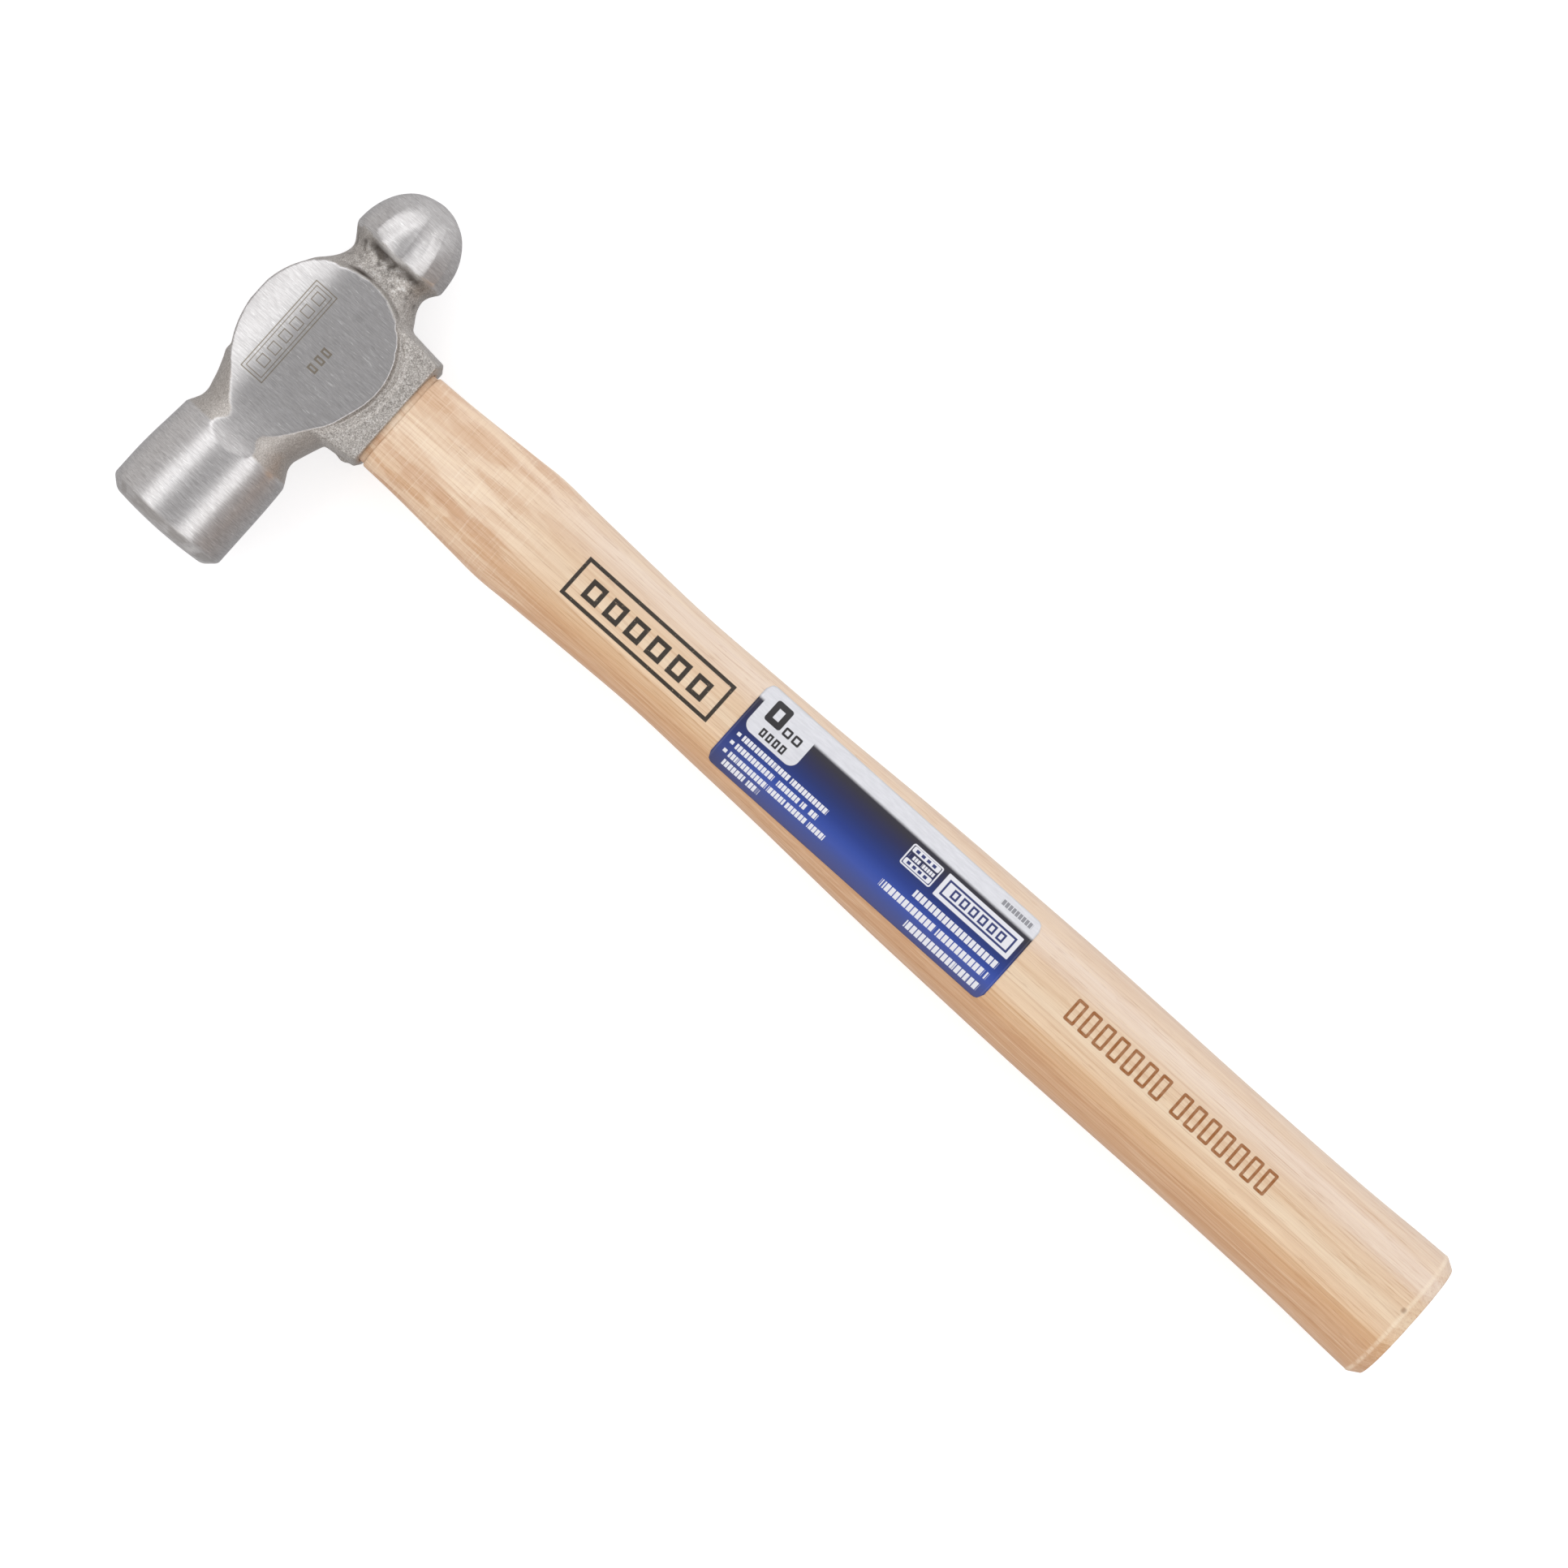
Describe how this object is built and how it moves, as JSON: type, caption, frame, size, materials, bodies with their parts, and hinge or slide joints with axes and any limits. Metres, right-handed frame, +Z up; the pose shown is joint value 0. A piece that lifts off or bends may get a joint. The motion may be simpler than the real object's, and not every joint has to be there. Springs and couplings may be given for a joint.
{
  "type": "ball peen hammer",
  "caption": "Ball peen hammer with a forged steel head, ground cheeks, a curved wooden handle wedged through an oval eye and a wrapped label.",
  "frame": {"origin": "on the floor, under the middle of the bounding box, with the hammer lying on its side", "axes": "+X along the handle from the head to the butt, +Y along the head from the striking face to the ball, +Z up, out of the upper cheek"},
  "size_m": [0.292, 0.0816, 0.026],
  "materials": {
    "forged_steel": "satin, ground on the cheeks, poll and ball, as forged elsewhere",
    "hickory": "sanded, thin clear lacquer",
    "wedge_wood": "sawn",
    "wedge_steel": "plain rolled",
    "label_film": "satin printed film"
  },
  "bodies": {
    "root": {"head": "forged_steel", "handle": "hickory", "wood_wedge": "wedge_wood", "steel_wedge_face_side": "wedge_steel", "steel_wedge_ball_side": "wedge_steel", "label": "label_film"}
  },
  "joints": []
}
